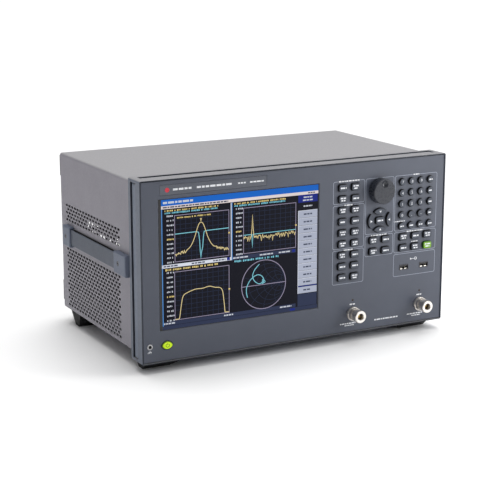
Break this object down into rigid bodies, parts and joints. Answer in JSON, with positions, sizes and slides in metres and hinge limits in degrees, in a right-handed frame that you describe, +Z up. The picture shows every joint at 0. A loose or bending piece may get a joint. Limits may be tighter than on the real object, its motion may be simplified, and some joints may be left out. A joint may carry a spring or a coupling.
{
  "type": "vector network analyzer",
  "caption": "Bench vector network analyzer with a wide display, keypad, rotary knob, coaxial test ports, perforated cover, strap handle and folding tilt stands.",
  "frame": {"origin": "middle of the footprint, on the plane that the feet stand on; the cabinet's middle, which the handle on one side puts 2 mm off the middle of the bounding box", "axes": "+X to the right as the operator sees it, +Y from the front panel to the rear, +Z up"},
  "size_m": [0.436, 0.301, 0.2345],
  "materials": {
    "black_plastic": "satin",
    "board": "satin",
    "brass": "satin",
    "cap": "satin",
    "chassis": "satin",
    "cover": "matte",
    "dark_steel": "satin",
    "display_module": "matte",
    "frame": "satin",
    "glass": "gloss",
    "housing": "satin",
    "key": "matte",
    "knob": "satin",
    "nickel": "polished",
    "panel": "satin",
    "power_key": "satin",
    "preset": "matte",
    "ptfe": "matte",
    "rubber": "matte",
    "steel": "satin",
    "strap": "matte",
    "trim": "satin"
  },
  "bodies": {
    "cabinet": {"front_frame": "frame", "trim_strips": "trim", "wrap_cover": "cover", "bottom_feet": "rubber", "rear_feet": "black_plastic", "handle_cap_front": "cap", "handle_cap_rear": "cap", "handle_strap": "strap", "front_panel": "panel", "display_glass": "glass", "display_module": "display_module", "encoder": "black_plastic", "keypad_board": "board", "test_port_bodies": "steel", "port_insulators": "ptfe", "port_contacts": "brass", "usb_sockets": "nickel", "ground_socket": "brass", "rear_panel": "cover", "rear_bnc_connectors": "nickel", "interface_connectors": "nickel", "power_inlet": "black_plastic", "fan_frame": "black_plastic", "chassis": "chassis", "main_board": "board", "rf_module": "housing", "power_supply": "housing", "case_screws": "dark_steel"},
    "active_keys_row_1": {"active_keys_row_1": "key"},
    "active_keys_row_2": {"active_keys_row_2": "key"},
    "response_keys_row_1": {"response_keys_row_1": "key"},
    "response_keys_row_2": {"response_keys_row_2": "key"},
    "response_keys_row_3": {"response_keys_row_3": "key"},
    "response_keys_row_4": {"response_keys_row_4": "key"},
    "stimulus_keys_row_1": {"stimulus_keys_row_1": "key"},
    "stimulus_keys_row_2": {"stimulus_keys_row_2": "key"},
    "stimulus_keys_row_3": {"stimulus_keys_row_3": "key"},
    "marker_keys_row_1": {"marker_keys_row_1": "key"},
    "marker_keys_row_2": {"marker_keys_row_2": "key"},
    "entry_keys_row_1": {"entry_keys_row_1": "key"},
    "entry_keys_row_2": {"entry_keys_row_2": "key"},
    "entry_keys_row_3": {"entry_keys_row_3": "key"},
    "entry_keys_row_4": {"entry_keys_row_4": "key"},
    "entry_keys_row_5": {"entry_keys_row_5": "key"},
    "state_keys_row_1": {"state_keys_row_1": "key"},
    "state_keys_row_2": {"state_keys_row_2": "key"},
    "up_key": {"up_key": "key"},
    "down_key": {"down_key": "key"},
    "left_key": {"left_key": "key"},
    "right_key": {"right_key": "key"},
    "enter_key": {"enter_key": "key"},
    "preset_key": {"preset_key": "preset"},
    "power_key": {"power_key": "power_key"},
    "rotary_knob": {"rotary_knob": "knob"},
    "fan_rotor": {"fan_rotor": "black_plastic"},
    "tilt_stand_left": {"tilt_stand_left": "steel"},
    "tilt_stand_right": {"tilt_stand_right": "steel"}
  },
  "joints": [
    {"name": "active_keys_row_1_press", "type": "slide", "parent": "cabinet", "child": "active_keys_row_1", "axis": [0, 1, 0], "range_m": [0, 0.001], "stiffness_N_per_m": 800},
    {"name": "active_keys_row_2_press", "type": "slide", "parent": "cabinet", "child": "active_keys_row_2", "axis": [0, 1, 0], "range_m": [0, 0.001], "stiffness_N_per_m": 800},
    {"name": "response_keys_row_1_press", "type": "slide", "parent": "cabinet", "child": "response_keys_row_1", "axis": [0, 1, 0], "range_m": [0, 0.001], "stiffness_N_per_m": 800},
    {"name": "response_keys_row_2_press", "type": "slide", "parent": "cabinet", "child": "response_keys_row_2", "axis": [0, 1, 0], "range_m": [0, 0.001], "stiffness_N_per_m": 800},
    {"name": "response_keys_row_3_press", "type": "slide", "parent": "cabinet", "child": "response_keys_row_3", "axis": [0, 1, 0], "range_m": [0, 0.001], "stiffness_N_per_m": 800},
    {"name": "response_keys_row_4_press", "type": "slide", "parent": "cabinet", "child": "response_keys_row_4", "axis": [0, 1, 0], "range_m": [0, 0.001], "stiffness_N_per_m": 800},
    {"name": "stimulus_keys_row_1_press", "type": "slide", "parent": "cabinet", "child": "stimulus_keys_row_1", "axis": [0, 1, 0], "range_m": [0, 0.001], "stiffness_N_per_m": 800},
    {"name": "stimulus_keys_row_2_press", "type": "slide", "parent": "cabinet", "child": "stimulus_keys_row_2", "axis": [0, 1, 0], "range_m": [0, 0.001], "stiffness_N_per_m": 800},
    {"name": "stimulus_keys_row_3_press", "type": "slide", "parent": "cabinet", "child": "stimulus_keys_row_3", "axis": [0, 1, 0], "range_m": [0, 0.001], "stiffness_N_per_m": 800},
    {"name": "marker_keys_row_1_press", "type": "slide", "parent": "cabinet", "child": "marker_keys_row_1", "axis": [0, 1, 0], "range_m": [0, 0.001], "stiffness_N_per_m": 800},
    {"name": "marker_keys_row_2_press", "type": "slide", "parent": "cabinet", "child": "marker_keys_row_2", "axis": [0, 1, 0], "range_m": [0, 0.001], "stiffness_N_per_m": 800},
    {"name": "entry_keys_row_1_press", "type": "slide", "parent": "cabinet", "child": "entry_keys_row_1", "axis": [0, 1, 0], "range_m": [0, 0.001], "stiffness_N_per_m": 800},
    {"name": "entry_keys_row_2_press", "type": "slide", "parent": "cabinet", "child": "entry_keys_row_2", "axis": [0, 1, 0], "range_m": [0, 0.001], "stiffness_N_per_m": 800},
    {"name": "entry_keys_row_3_press", "type": "slide", "parent": "cabinet", "child": "entry_keys_row_3", "axis": [0, 1, 0], "range_m": [0, 0.001], "stiffness_N_per_m": 800},
    {"name": "entry_keys_row_4_press", "type": "slide", "parent": "cabinet", "child": "entry_keys_row_4", "axis": [0, 1, 0], "range_m": [0, 0.001], "stiffness_N_per_m": 800},
    {"name": "entry_keys_row_5_press", "type": "slide", "parent": "cabinet", "child": "entry_keys_row_5", "axis": [0, 1, 0], "range_m": [0, 0.001], "stiffness_N_per_m": 800},
    {"name": "state_keys_row_1_press", "type": "slide", "parent": "cabinet", "child": "state_keys_row_1", "axis": [0, 1, 0], "range_m": [0, 0.001], "stiffness_N_per_m": 800},
    {"name": "state_keys_row_2_press", "type": "slide", "parent": "cabinet", "child": "state_keys_row_2", "axis": [0, 1, 0], "range_m": [0, 0.001], "stiffness_N_per_m": 800},
    {"name": "up_key_press", "type": "slide", "parent": "cabinet", "child": "up_key", "axis": [0, 1, 0], "range_m": [0, 0.001], "stiffness_N_per_m": 800},
    {"name": "down_key_press", "type": "slide", "parent": "cabinet", "child": "down_key", "axis": [0, 1, 0], "range_m": [0, 0.001], "stiffness_N_per_m": 800},
    {"name": "left_key_press", "type": "slide", "parent": "cabinet", "child": "left_key", "axis": [0, 1, 0], "range_m": [0, 0.001], "stiffness_N_per_m": 800},
    {"name": "right_key_press", "type": "slide", "parent": "cabinet", "child": "right_key", "axis": [0, 1, 0], "range_m": [0, 0.001], "stiffness_N_per_m": 800},
    {"name": "enter_key_press", "type": "slide", "parent": "cabinet", "child": "enter_key", "axis": [0, 1, 0], "range_m": [0, 0.001], "stiffness_N_per_m": 800},
    {"name": "preset_key_press", "type": "slide", "parent": "cabinet", "child": "preset_key", "axis": [0, 1, 0], "range_m": [0, 0.001], "stiffness_N_per_m": 800},
    {"name": "power_key_press", "type": "slide", "parent": "cabinet", "child": "power_key", "axis": [0, 1, 0], "range_m": [0, 0.001], "stiffness_N_per_m": 800},
    {"name": "rotary_knob_turn", "type": "hinge", "parent": "cabinet", "child": "rotary_knob", "pos_m": [0.1155, -0.142, 0.1942], "axis": [0, -1, 0], "continuous": true},
    {"name": "fan_spin", "type": "hinge", "parent": "cabinet", "child": "fan_rotor", "pos_m": [-0.15, 0.116, 0.1295], "axis": [0, 1, 0], "continuous": true},
    {"name": "tilt_stand_left_fold", "type": "hinge", "parent": "cabinet", "child": "tilt_stand_left", "pos_m": [-0.17, -0.073, 0.009], "axis": [-1, 0, 0], "range_deg": [0, 100]},
    {"name": "tilt_stand_right_fold", "type": "hinge", "parent": "cabinet", "child": "tilt_stand_right", "pos_m": [0.17, -0.073, 0.009], "axis": [-1, 0, 0], "range_deg": [0, 100]}
  ]
}
